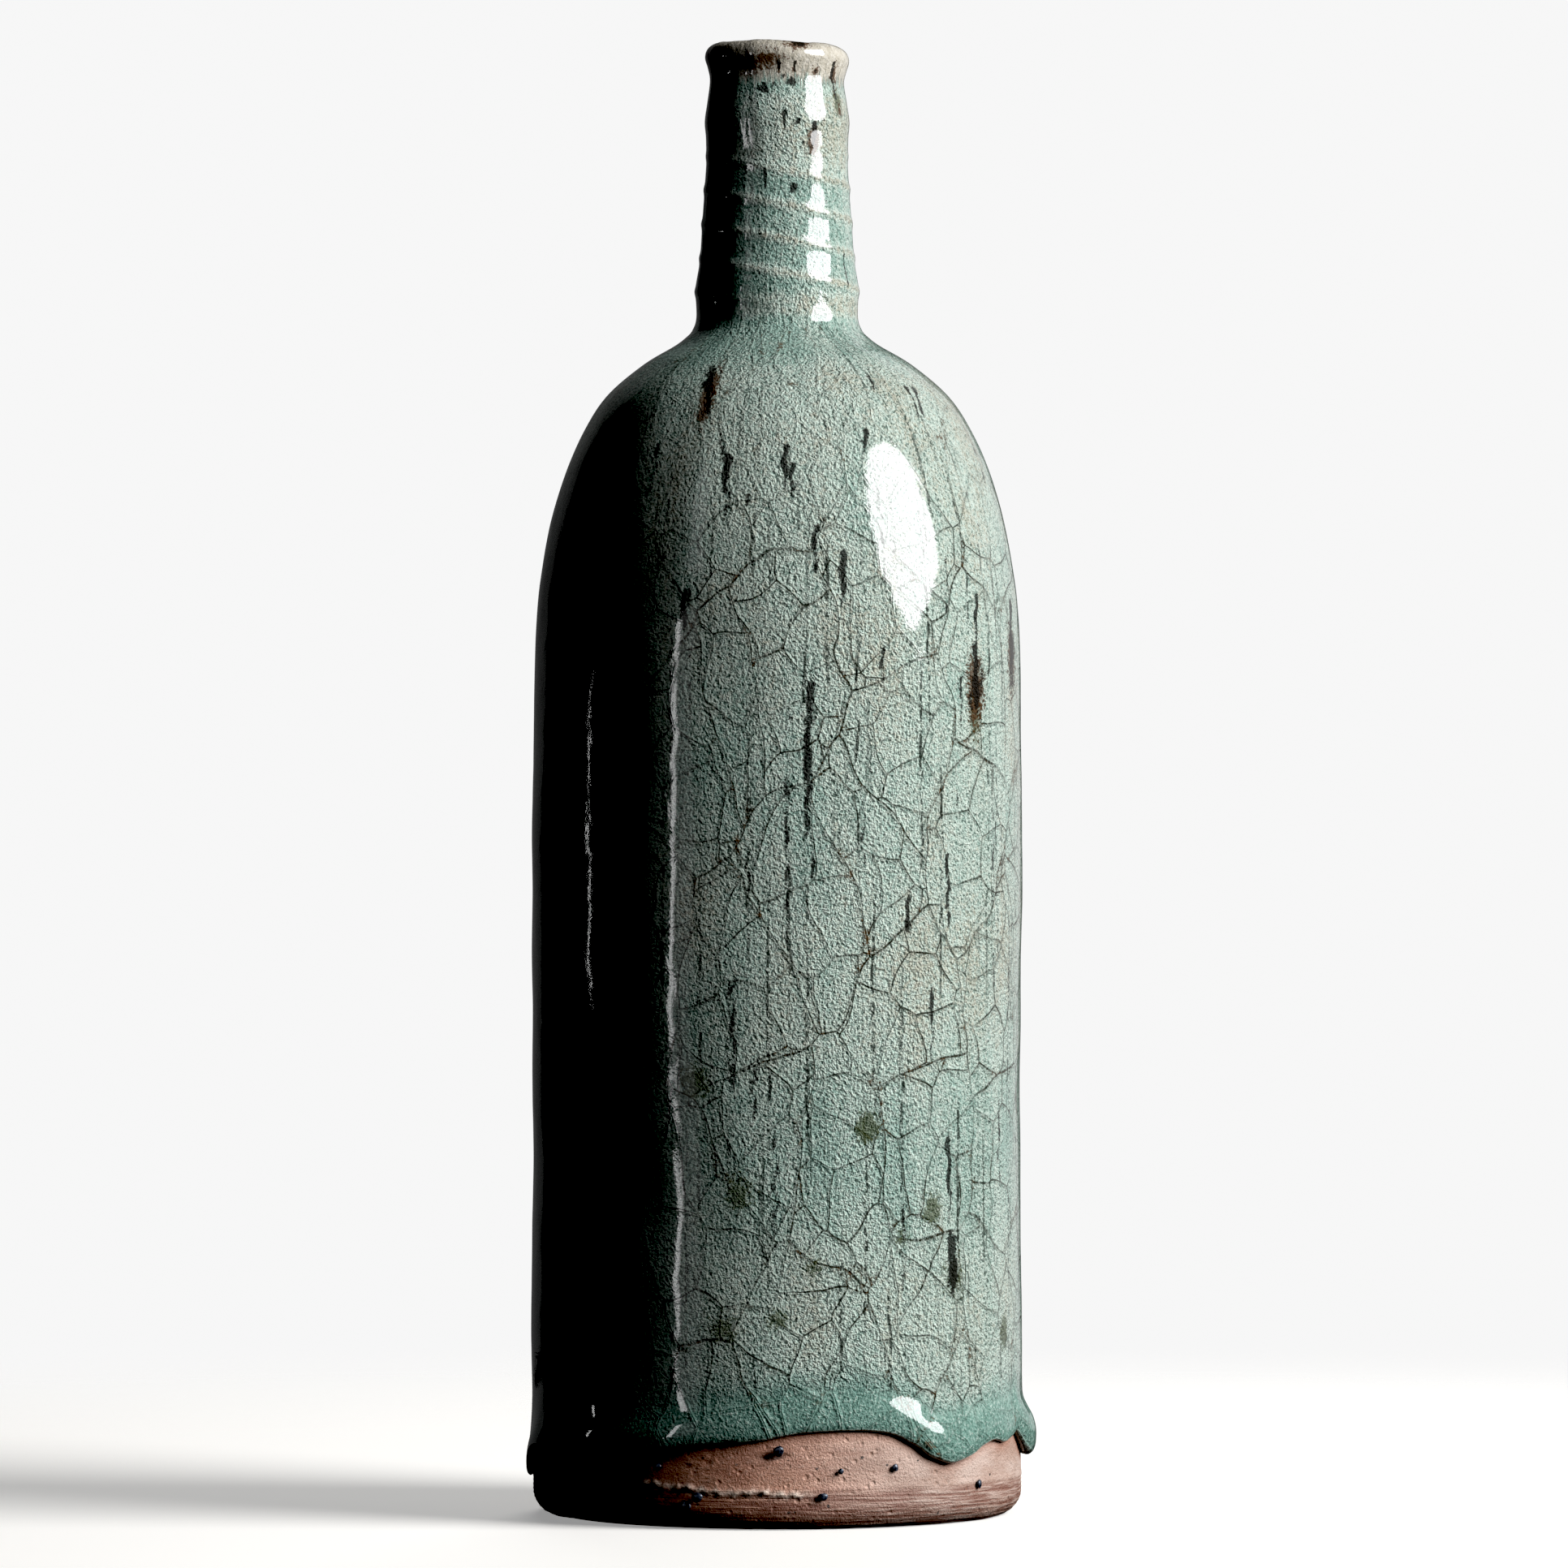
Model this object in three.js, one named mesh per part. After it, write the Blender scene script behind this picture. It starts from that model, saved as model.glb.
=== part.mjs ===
// A tall wheel-thrown stoneware sake bottle: a straight cylindrical body with a domed shoulder, a slim ringed
// neck that was thrown apart and joined on with slip, and a thick crackled glaze that ran down towards the
// bare clay foot. Each clay section, the slip joint and each coat of glaze is a solid of its own.
//
// Units are millimetres. +Z is up along the throwing axis, and the bottle stands on the plane z = 0.
// The front is -Y. Angles are in degrees, counted from the front towards +X.

import * as THREE from "three";

// Driving dimensions.
const SEGMENTS = 36; // facets round the axis
const SEAM = 240.4; // height of the joint between shoulder and neck
const SLIP_THICKNESS = 0.8; // luting slip squeezed between the two sections
const SEAT_GAP = 0.1; // keeps each solid clear of the one it is fused to
const BODY_WALL = 5.4;
const FLOOR_THICKNESS = 8;
const INNER_CORNER = 7; // radius of the inside corner between floor and wall
const BODY_GLAZE = 0.8;
const NECK_GLAZE = 0.6;
const LINER_GLAZE = 0.5;

const FOOT_RADIUS = 49.8;
const FOOT_ROUNDING = 5; // radius of the rounded edge between the base and the wall
const RECESS_RADIUS = 35; // the base is slightly hollow, so that the bottle stands on a ring
const RECESS_DEPTH = 1;
const RECESS_SLOPE = 2;
const FLARE_TOP = 26; // the bare foot flares slightly below this height

const THROAT_RADIUS = 9.7; // bore of the clay neck, before its liner glaze
const THROAT_FLARE = 1.8; // how much wider the bore is where the neck meets the shoulder
const THROAT_FLARE_TOP = 262;
const LIP_GLAZE_FOOT = 292.6; // the lip's own glaze starts in the waist below the lip

// Outer face of the glazed body, as [height, radius], from the glaze's edge to the neck.
const BODY_OUTLINE = [
  [0, 50],
  [30, 50],
  [75, 49.75],
  [118, 50.2],
  [150, 50],
  [180, 49.5],
  [197, 47.5],
  [210, 44.2],
  [220, 40.1],
  [228, 35],
  [234.5, 27.6],
  [238.5, 21],
  [SEAM, 18.5],
  [241.8, 17.3],
];

// Outer face of the glazed neck, from the joint to the waist under the lip. Its swells are throwing rings.
const NECK_OUTLINE = [
  [SEAM, 18.5],
  [241.8, 17.3],
  [244.5, 16.5],
  [250.5, 16.7],
  [256, 15.9],
  [262, 15.5],
  [269, 15],
  [276, 14.6],
  [281, 14.6],
  [284.5, 14.85],
  [288.5, 14.3],
  [LIP_GLAZE_FOOT, 13.75],
];

// Outer face of the lip's glaze, from the waist over the top and down into the throat.
const LIP_OUTLINE = [
  [LIP_GLAZE_FOOT, 13.75],
  [295, 14.15],
  [297.2, 14.75],
  [299, 14.2],
  [300, 12.4],
  [299.2, 10.6],
  [297, 9.6],
  [292, 9.1],
];

// Runs in the glaze's lower edge: where each hangs, its half width, its drop and how much it swells.
const GLAZE_EDGE = 20.2;
const GLAZE_RUNS = [
  { at: 44, half: 11, drop: 7.2, swell: 0.9 },
  { at: 66, half: 8, drop: 4.2, swell: 0.2 },
  { at: 94, half: 18, drop: 8.6, swell: 1.7 },
  { at: 128, half: 9, drop: 3, swell: 0.4 },
  { at: 155, half: 13, drop: 6.4, swell: 1 },
  { at: 187, half: 10, drop: 2.6, swell: 0.3 },
  { at: 214, half: 14, drop: 7.8, swell: 1.1 },
  { at: 243, half: 10, drop: 4, swell: 0.3 },
  { at: 268, half: 17, drop: 12, swell: -0.2 },
  { at: 298, half: 18, drop: 5.8, swell: 0 },
  { at: 326, half: 18, drop: 5.6, swell: 0.2 },
  { at: 353, half: 15, drop: 1.8, swell: 0.1 },
];
const ROLL_SWELL = 0.6; // the rolled bead along the edge stands this proud of the coat, and more at a run

// Cross-section of the rolled bead, as [height above the edge, share of its thickness].
const ROLL_SECTION = [
  [0.3, 0.45],
  [1.2, 0.9],
  [2.6, 1],
  [4.6, 0.75],
  [8, 0.3],
  [13, 0],
];
const ROLL_NOSE = 1; // the coat itself thins out over this height above its edge
const ROLL_TOP = 36; // the coat is even above this height

// Beads of melted iron-bearing stone that stand out of the bare clay: angle, height and half width.
const IRON_BEADS = [
  { at: 0.3, height: 15.9, half: 1.1 },
  { at: -18.3, height: 6.6, half: 1.2 },
  { at: -21.2, height: 4.9, half: 1.1 },
  { at: -28.3, height: 12.4, half: 1 },
  { at: 10.4, height: 6.8, half: 0.9 },
  { at: 14.6, height: 11.8, half: 0.7 },
  { at: 27.9, height: 12.2, half: 0.7 },
  { at: 53.8, height: 7.9, half: 0.8 },
  { at: 119, height: 10.2, half: 1 },
  { at: 171, height: 8.4, half: 1.1 },
  { at: 232, height: 9.6, half: 0.9 },
];
const BEAD_HEIGHT_SHARE = 0.45; // how far a bead stands out, as a share of its half width

const UP = Math.PI / 2; // LatheGeometry turns about Y, so its solids are stood up by this

// Curves and radii.

const point = (height, radius) => new THREE.Vector2(radius, height);

// A smooth line through [height, radius] pairs.
function smooth(pairs, steps) {
  return new THREE.SplineCurve(pairs.map(([height, radius]) => point(height, radius))).getPoints(steps);
}

// The line moved sideways, towards the left of its own direction.
function offset(line, distance) {
  return line.map((here, i) => {
    const ahead = line[Math.min(i + 1, line.length - 1)];
    const behind = line[Math.max(i - 1, 0)];
    const direction = ahead.clone().sub(behind).normalize();
    return new THREE.Vector2(here.x - direction.y * distance, here.y + direction.x * distance);
  });
}

// The radius of a line that only rises, at a height.
function radiusAt(line, height) {
  const above = line.findIndex((p) => p.y >= height);
  if (above <= 0) return above < 0 ? line.at(-1).x : line[0].x;
  const low = line[above - 1];
  const high = line[above];
  return THREE.MathUtils.lerp(low.x, high.x, (height - low.y) / (high.y - low.y));
}

// Points on a line at the heights given.
const pointsOn = (line, heights) => heights.map((height) => point(height, radiusAt(line, height)));

const bodyFace = smooth(BODY_OUTLINE, 400);
const neckFace = smooth(NECK_OUTLINE, 200);
const bodyClayFace = offset(bodyFace, BODY_GLAZE);
const neckClayFace = offset(neckFace, NECK_GLAZE);
const bodyInnerFace = offset(bodyFace, BODY_GLAZE + BODY_WALL);

const SHOULDER_TOP = SEAM - SLIP_THICKNESS / 2; // rim of the body section
const NECK_FOOT = SEAM + SLIP_THICKNESS / 2; // lower face of the neck section
const RIM_BORE = THROAT_RADIUS + THROAT_FLARE;

// Outer face of the body's clay: the coat's underside, flaring into the bare foot.
function clayRadius(height) {
  const flare = 1 - THREE.MathUtils.smoothstep(height, FOOT_ROUNDING * 2, FLARE_TOP);
  return THREE.MathUtils.lerp(radiusAt(bodyClayFace, height), FOOT_RADIUS, flare);
}

// Bore of the clay neck, which widens towards its foot.
function throatRadius(height) {
  return RIM_BORE - THROAT_FLARE * THREE.MathUtils.smoothstep(height, NECK_FOOT, THROAT_FLARE_TOP);
}

// Inside of the body's clay, which closes in to the neck's bore at the rim.
function innerRadius(height) {
  return height < SHOULDER_TOP ? Math.max(RIM_BORE, radiusAt(bodyInnerFace, height)) : RIM_BORE;
}

// Solids.

// A solid turned about the axis, whose closed profile may change with the angle.
function turned(profileAt) {
  const first = profileAt(0);
  const geometry = new THREE.LatheGeometry(first, SEGMENTS);
  const places = geometry.attributes.position;
  for (let side = 0; side <= SEGMENTS; side++) {
    const angle = (360 / SEGMENTS) * side;
    const across = Math.sin(angle * THREE.MathUtils.DEG2RAD);
    const forward = Math.cos(angle * THREE.MathUtils.DEG2RAD);
    profileAt(angle).forEach((p, i) => {
      places.setXYZ(side * first.length + i, p.x * across, p.y, p.x * forward);
    });
  }
  return geometry.rotateX(UP);
}

// A profile that closes on itself: up its outer face and down its inner one.
const closed = (outer, inner) => [...outer, ...inner.reverse(), outer[0].clone()];

const FOOT_LEVELS = [11, 15, 19, FLARE_TOP];
const WALL_LEVELS = [75, 118, 155];
const SHOULDER_LEVELS = [180, 192, 202, 210, 217, 223, 228.5, 233, 236.5];
const NECK_LEVELS = [242.2, 244.5, 250.5, 256, 262, 269, 276, 284.5, 288.5, 292.4];
const THROAT_LEVELS = [250, THROAT_FLARE_TOP, 291.6];
const INNER_LEVELS = [118, 155, 180, 200, 213, 223, 230, 235, SHOULDER_TOP];

// A quarter of a circle, from straight below its centre round to its outer side.
function quarterTurn(centreHeight, centreRadius, radius) {
  const steps = 4;
  return Array.from({ length: steps + 1 }, (_, i) => {
    const turn = (Math.PI / 2) * (i / steps);
    return point(centreHeight - radius * Math.cos(turn), centreRadius + radius * Math.sin(turn));
  });
}

// The inside of the body at a depth below the clay's own face, from the floor's middle up to the rim.
function innerLine(depth) {
  const cornerHeight = FLOOR_THICKNESS + INNER_CORNER;
  const cornerRadius = innerRadius(cornerHeight) - INNER_CORNER;
  return [
    point(FLOOR_THICKNESS + depth, 0),
    ...quarterTurn(cornerHeight, cornerRadius, INNER_CORNER - depth),
    ...INNER_LEVELS.map((height) => point(height, innerRadius(height) - depth)),
  ];
}

// The thrown body: hollow base, floor, wall and shoulder, open at the rim that carries the neck.
function clayBody() {
  const levels = [...FOOT_LEVELS, ...WALL_LEVELS, ...SHOULDER_LEVELS, SHOULDER_TOP];
  const profile = [
    point(RECESS_DEPTH, 0),
    point(RECESS_DEPTH, RECESS_RADIUS),
    point(0, RECESS_RADIUS + RECESS_SLOPE),
    ...quarterTurn(FOOT_ROUNDING, FOOT_RADIUS - FOOT_ROUNDING, FOOT_ROUNDING),
    ...levels.map((height) => point(height, clayRadius(height))),
    ...innerLine(0).reverse(),
  ];
  return turned(() => profile);
}

// The ring of slip that lutes the neck to the body's rim.
function slipJoint() {
  const low = SHOULDER_TOP + SEAT_GAP;
  const high = NECK_FOOT - SEAT_GAP;
  const outer = radiusAt(neckClayFace, NECK_FOOT) - SEAT_GAP;
  const ring = closed([point(low, outer), point(high, outer)], [point(low, RIM_BORE), point(high, RIM_BORE)]);
  return turned(() => ring);
}

// The lip's clay lies inside its glaze, between the neck's outer face and its bore.
const lipFace = smooth(LIP_OUTLINE, 10);
const lipClay = offset(lipFace, NECK_GLAZE).filter((p) => p.y > LIP_GLAZE_FOOT + 0.5);

// The thrown neck with its rolled lip.
function clayNeck() {
  const outer = [NECK_FOOT, ...NECK_LEVELS].map((height) => point(height, radiusAt(neckClayFace, height)));
  const throat = [NECK_FOOT, ...THROAT_LEVELS].map((height) => point(height, throatRadius(height)));
  const profile = closed([...outer, ...lipClay], throat);
  return turned(() => profile);
}

// How far the glaze has run at an angle, and how thick it has swollen there.
function runAt(angle) {
  let edge = GLAZE_EDGE;
  let swell = ROLL_SWELL;
  for (const run of GLAZE_RUNS) {
    const away = THREE.MathUtils.euclideanModulo(angle - run.at + 180, 360) - 180;
    const share = Math.exp(-((away / run.half) ** 2));
    edge -= run.drop * share;
    swell += run.swell * share;
  }
  return { edge, swell };
}

// The body's coat, with the rolled bead along its uneven lower edge.
function bodyGlaze() {
  const levels = [...WALL_LEVELS, ...SHOULDER_LEVELS, SHOULDER_TOP, SEAM - SEAT_GAP];
  const face = pointsOn(bodyFace, [ROLL_TOP, ...levels]);
  const back = [ROLL_TOP, ...levels].map((height) => point(height, clayRadius(height) + SEAT_GAP));
  return turned((angle) => {
    const { edge, swell } = runAt(angle);
    const roll = ROLL_SECTION.map(([rise, share]) => {
      const coat = BODY_GLAZE * Math.min(1, rise / ROLL_NOSE);
      return point(edge + rise, clayRadius(edge + rise) + coat + swell * share);
    });
    const seat = ROLL_SECTION.map(([rise]) => point(edge + rise, clayRadius(edge + rise) + SEAT_GAP));
    const underside = point(edge, clayRadius(edge) + SEAT_GAP);
    return closed([underside, ...roll, ...face], [...seat, ...back]);
  });
}

// The neck's coat, up to the waist under the lip.
function neckGlaze() {
  const levels = [SEAM + SEAT_GAP, NECK_FOOT, ...NECK_LEVELS];
  const clayRadiusAt = (height) => radiusAt(neckClayFace, Math.max(height, NECK_FOOT));
  const back = levels.map((height) => point(height, clayRadiusAt(height) + SEAT_GAP));
  const profile = closed(pointsOn(neckFace, levels), back);
  return turned(() => profile);
}

// The smooth pale glaze that came out of the bottle and over its lip.
function lipGlaze() {
  const profile = closed(lipFace, offset(lipFace, NECK_GLAZE - SEAT_GAP));
  return turned(() => profile);
}

// The liner in the throat, between the lip's glaze and the joint.
function neckLiner() {
  const levels = [SEAM + SEAT_GAP, ...THROAT_LEVELS];
  const seat = levels.map((height) => point(height, throatRadius(height) - SEAT_GAP));
  const face = levels.map((height) => point(height, throatRadius(height) - LINER_GLAZE));
  const profile = closed(seat, face);
  return turned(() => profile);
}

// The liner inside the body, over the floor, wall and shoulder.
function bodyLiner() {
  const rim = (depth) => point(SEAM - SEAT_GAP, RIM_BORE - depth);
  const seat = [...innerLine(SEAT_GAP), rim(SEAT_GAP)];
  const face = [...innerLine(LINER_GLAZE), rim(LINER_GLAZE)];
  const profile = [...seat, ...face.reverse()];
  return turned(() => profile);
}

// A flattened bead lying on the bare clay.
function ironBead({ at, height, half }) {
  const rise = half * BEAD_HEIGHT_SHARE;
  const angle = at * THREE.MathUtils.DEG2RAD;
  const bead = new THREE.SphereGeometry(1, 8, 5).scale(half, rise, half);
  const mesh = new THREE.Mesh(bead, MATERIALS.iron);
  const reach = clayRadius(height) + rise + SEAT_GAP;
  mesh.rotation.set(0, 0, angle);
  mesh.position.set(reach * Math.sin(angle), -reach * Math.cos(angle), height);
  return mesh;
}

const MATERIALS = {
  clay: new THREE.MeshStandardMaterial({ color: 0x9a6a50, roughness: 0.85, metalness: 0 }),
  slip: new THREE.MeshStandardMaterial({ color: 0x8a5c46, roughness: 0.9, metalness: 0 }),
  celadon: new THREE.MeshStandardMaterial({ color: 0x8fa89c, roughness: 0.12, metalness: 0 }),
  pale: new THREE.MeshStandardMaterial({ color: 0xb3aea0, roughness: 0.12, metalness: 0 }),
  iron: new THREE.MeshStandardMaterial({ color: 0x25262b, roughness: 0.25, metalness: 0 }),
};

const PIECES = [
  ["clay_body", clayBody(), MATERIALS.clay],
  ["clay_neck", clayNeck(), MATERIALS.clay],
  ["slip_joint", slipJoint(), MATERIALS.slip],
  ["body_glaze", bodyGlaze(), MATERIALS.celadon],
  ["neck_glaze", neckGlaze(), MATERIALS.celadon],
  ["lip_glaze", lipGlaze(), MATERIALS.pale],
  ["neck_liner_glaze", neckLiner(), MATERIALS.pale],
  ["body_liner_glaze", bodyLiner(), MATERIALS.pale],
];

const bottle = new THREE.Group();
for (const [name, geometry, material] of PIECES) {
  const piece = new THREE.Mesh(geometry, material);
  piece.name = name;
  bottle.add(piece);
}
IRON_BEADS.forEach((bead, i) => {
  const piece = ironBead(bead);
  piece.name = `iron_bead_${String(i + 1).padStart(2, "0")}`;
  bottle.add(piece);
});

export default bottle;
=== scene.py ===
"""A tall stoneware sake bottle: crackled celadon glaze that ran down a turned body over a bare clay foot.

Sizes are in millimetres and angles in degrees, counted from the front (-Y) towards +X; meshes are in metres.
"""

import math

import bmesh
import bpy
import numpy as np
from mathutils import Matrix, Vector


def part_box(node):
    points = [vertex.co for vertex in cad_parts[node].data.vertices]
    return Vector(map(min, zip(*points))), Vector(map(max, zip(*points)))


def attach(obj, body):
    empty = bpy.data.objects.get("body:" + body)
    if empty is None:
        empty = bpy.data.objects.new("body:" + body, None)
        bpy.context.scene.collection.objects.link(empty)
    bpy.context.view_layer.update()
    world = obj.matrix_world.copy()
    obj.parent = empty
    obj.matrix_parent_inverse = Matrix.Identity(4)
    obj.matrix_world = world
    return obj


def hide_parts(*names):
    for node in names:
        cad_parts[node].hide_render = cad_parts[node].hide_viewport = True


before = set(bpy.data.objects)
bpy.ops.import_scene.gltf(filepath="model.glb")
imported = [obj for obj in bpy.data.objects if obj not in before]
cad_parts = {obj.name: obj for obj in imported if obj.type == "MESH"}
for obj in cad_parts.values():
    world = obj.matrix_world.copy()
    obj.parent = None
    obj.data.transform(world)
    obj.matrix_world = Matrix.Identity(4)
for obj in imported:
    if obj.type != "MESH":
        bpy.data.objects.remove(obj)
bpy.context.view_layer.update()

MM = 0.001

# --------------------------------------------------
# The turned shape. The outlines are the design's own.

SEAM = 240.4  # joint between shoulder and neck
BODY_GLAZE = 0.8
NECK_GLAZE = 0.6
FOOT_RADIUS = 49.8
FOOT_ROUNDING = 5
RECESS_RADIUS = 35
RECESS_DEPTH = 1
RECESS_SLOPE = 2
FLARE_LOW = 10  # the bare foot flares out below FLARE_TOP and reaches FOOT_RADIUS here
FLARE_TOP = 26
THROAT_RADIUS = 9.2
THROAT_FLARE = 1.8
THROAT_FLARE_TOP = 262
LIP_GLAZE_FOOT = 292.6
CLAY_WALL = 5.4
FLOOR_TOP = 8
INNER_CORNER = 7  # radius of the corner between floor and wall, inside
WALL_RADIUS = 50  # waves and patterns are laid out on a cylinder of this radius

# Outer face of the glaze, as (height, radius), from the foot to the lip and down into the throat.
OUTLINE = [
    (0, 50), (30, 50), (75, 49.75), (118, 50.2), (150, 50), (180, 49.5), (197, 47.5), (210, 44.2),
    (220, 40.1), (228, 35), (234.5, 27.6), (238.5, 21), (SEAM, 18.5), (241.8, 17.3), (244.5, 16.5),
    (250.5, 16.7), (256, 15.9), (262, 15.5), (269, 15), (276, 14.6), (281, 14.6), (284.5, 14.85),
    (288.5, 14.3), (LIP_GLAZE_FOOT, 13.75), (295, 14.15), (297.2, 14.75), (299, 14.2), (300, 12.4),
    (299.2, 10.6), (297, 9.6), (292, 9.1),
]

COLUMNS = 512  # facets round the glaze
THROAT_COLUMNS = 128

# Runs in the glaze's lower edge: angle, half width, how far it dropped and how much it swells there.
GLAZE_EDGE = 20.2
ROLL_SWELL = 0.75
GLAZE_RUNS = [
    (44, 13, 7.4, 1.3), (66, 8, 4.2, 0.2), (128, 9, 3, 0.4), (155, 13, 6.4, 1.0),
    (187, 10, 2.6, 0.3), (214, 14, 7.8, 1.1), (243, 10, 4, 0.3), (268, 17, 12, -0.2),
    (298, 18, 5.8, 0), (326, 18, 5.6, 0.2), (353, 15, 1.8, 0.1),
]
FOLDED_RUN = (93, 18, 8.6, 1.9)  # the heaviest run: flat-bottomed, folded sharply against its neighbour

# Cross-section of the rolled edge: height above the edge, share of the coat and share of the swelling.
ROLL_SECTION = [
    (0.8, -0.1, 0.0), (0.35, 0.1, 0.06), (0.05, 0.32, 0.24), (0.05, 0.6, 0.48), (0.45, 0.85, 0.72),
    (1.15, 1.0, 0.88), (2.1, 1.0, 0.97), (3.3, 1.0, 1.0), (4.8, 1.0, 0.84), (6.8, 1.0, 0.42),
    (9, 1.0, 0.14), (12.5, 1.0, 0.03), (18, 1.0, 0.0),
]
ROLL_ROWS = 44
EDGE_BLEND = (10, 44)  # the rows follow the edge's waves up to the first height and lie level from the second

# Steps between the rows of the glaze's grid.
EDGE_STEP = 1.6
WALL_STEP = 1.7
SHOULDER_STEP = 1.3
NECK_STEP = 0.5
LIP_STEP = 0.4
SHOULDER_START = 170


def smooth(pairs, steps):
    """Evenly stepped points on the smooth line through a list of points."""
    points = np.array(pairs, float)
    padded = np.vstack([points[0], points, points[-1]])
    place = np.linspace(0, len(points) - 1, steps + 1)
    first = np.minimum(place.astype(int), len(points) - 2)
    part = (place - first)[:, None]
    a, b, c, d = (padded[first + k] for k in range(4))
    bend = 2 * a - 5 * b + 4 * c - d
    twist = 3 * b - a - 3 * c + d
    return 0.5 * (2 * b + (c - a) * part + bend * part**2 + twist * part**3)


def step(value, low, high):
    """A smooth step from 0 at low to 1 at high."""
    share = np.clip((value - low) / (high - low), 0, 1)
    return share * share * (3 - 2 * share)


def turn_between(angle, other):
    """The signed angle from other to angle, between -180 and 180 degrees."""
    return (angle - other + 180) % 360 - 180


def arc_from(angle, at, radius):
    """Millimetres round the piece from an angle, signed."""
    return turn_between(angle, at) * np.radians(radius)


def resample(line, spacing):
    """The line again, with even steps of about the spacing along it."""
    length = np.concatenate([[0], np.cumsum(np.hypot(*np.diff(line, axis=0).T))])
    places = np.linspace(0, length[-1], max(2, int(round(length[-1] / spacing)) + 1))
    return np.column_stack([np.interp(places, length, line[:, k]) for k in range(2)])


def outward(line):
    """Unit normals of a (height, radius) line, to the right of its direction: away from the clay."""
    along = np.gradient(line, axis=0)
    normal = np.column_stack([-along[:, 1], along[:, 0]])
    return normal / np.linalg.norm(normal, axis=1)[:, None]


FACE = smooth(OUTLINE, 6000)
RIM = int(np.argmax(FACE[:, 0]))  # the highest point of the outline
ARC = np.concatenate([[0], np.cumsum(np.hypot(*np.diff(FACE, axis=0).T))])  # length along the outline


def face_radius(height):
    """Radius of the outline at a height."""
    return np.interp(height, FACE[:RIM, 0], FACE[:RIM, 1])


def clay_radius(height):
    """Outer face of the body's clay on the wall and the foot."""
    coat = BODY_GLAZE + 1.6 * BODY_GLAZE * step(height, 190, 235)
    flare = 1 - step(height, FLARE_LOW, FLARE_TOP)
    return (face_radius(height) - coat) * (1 - flare) + FOOT_RADIUS * flare


# --------------------------------------------------
# Unevenness.

random = np.random.default_rng(7)


def waves(size, amount, count=20, upright=1.0):
    """Seamless waves of about one size, as a sum of plane waves; upright stretches them in height."""
    drawn = []
    for _ in range(count):
        lean = random.uniform(0, math.pi)
        length = size * random.uniform(0.7, 1.5)
        round_count = round(2 * math.pi * WALL_RADIUS / length * math.cos(lean))
        rise = 2 * math.pi / (length * upright) * math.sin(lean)
        drawn.append((round_count, rise, random.uniform(0, 2 * math.pi)))

    def total(angle, height=0.0):
        turned = np.radians(angle)
        value = sum(np.cos(turns * turned + rise * height + phase) for turns, rise, phase in drawn)
        return value * amount * math.sqrt(2 / count)

    return total


EDGE_WAVER = waves(14, 0.22)
EDGE_SHIVER = waves(5, 0.08)
GLAZE_BROAD = waves(90, 0.14)
GLAZE_UNEVEN = waves(34, 0.08)
GLAZE_FINE = waves(15, 0.026, upright=1.6)
GLAZE_FINEST = waves(7, 0.008)
GLAZE_DRIPS = waves(16, 0.035, upright=9)
DEPTH_CLOUD = waves(40, 0.05, upright=1.5)
DEPTH_DRIPS = waves(12, 0.03, upright=4)
LIP_WAVER = waves(60, 0.12)
CLAY_WAVER = waves(70, 0.12)
CLAY_UNEVEN = waves(18, 0.035)
CLAY_FINE = waves(5, 0.014)
CLAY_SCARS = waves(1.9, 0.09, count=30)


def run_at(angle):
    """Height of the glaze's lower edge at an angle, and how much its roll swells."""
    drop = np.zeros_like(angle)
    swell = np.zeros_like(angle)
    for at, half, fall, extra in GLAZE_RUNS:
        share = np.exp(-((turn_between(angle, at) / half) ** 2))
        drop += fall * share
        swell += extra * share
    at, half, fall, extra = FOLDED_RUN
    share = np.exp(-((turn_between(angle, at) / half) ** 4))
    drop = np.maximum(drop, fall * share)
    swell = np.maximum(swell, extra * share)
    return GLAZE_EDGE - drop + EDGE_WAVER(angle) + EDGE_SHIVER(angle), ROLL_SWELL + swell


RING_PITCH = 7.0
RING_CREST = 266.9  # height of one crest at the front
RING_WIDTH = 0.14  # of a crest, as a share of the pitch


def ring_wave(angle, height):
    """Sharp throwing ridges that climb the neck as a screw: 1 on a crest and 0 in a valley."""
    climbed = height + 2 * RING_PITCH * angle / 360 + 0.35 * np.sin(np.radians(angle * 2 + 40))
    phase = (climbed - RING_CREST) / RING_PITCH
    return np.exp(-(((phase - np.round(phase)) / RING_WIDTH) ** 2))


def neck_rings(angle, height):
    """Relief of the throwing ridges, which die out at both ends of the neck."""
    inside = step(height, 244, 249) * (1 - step(height, 276, 280))
    return inside * (0.25 * ring_wave(angle, height) - 0.07)


def glaze_relief(angle, height):
    """How far the glaze's face stands out from the turned outline."""
    wall = 1 - step(height, 225, 240)
    broad = (GLAZE_BROAD(angle, height) + GLAZE_UNEVEN(angle, height)) * (0.3 + 0.7 * wall)
    fine = GLAZE_FINE(angle, height) + GLAZE_FINEST(angle, height)
    return broad + fine + wall * GLAZE_DRIPS(angle, height) + neck_rings(angle, height)


# --------------------------------------------------
# Marks in the glaze.

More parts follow.
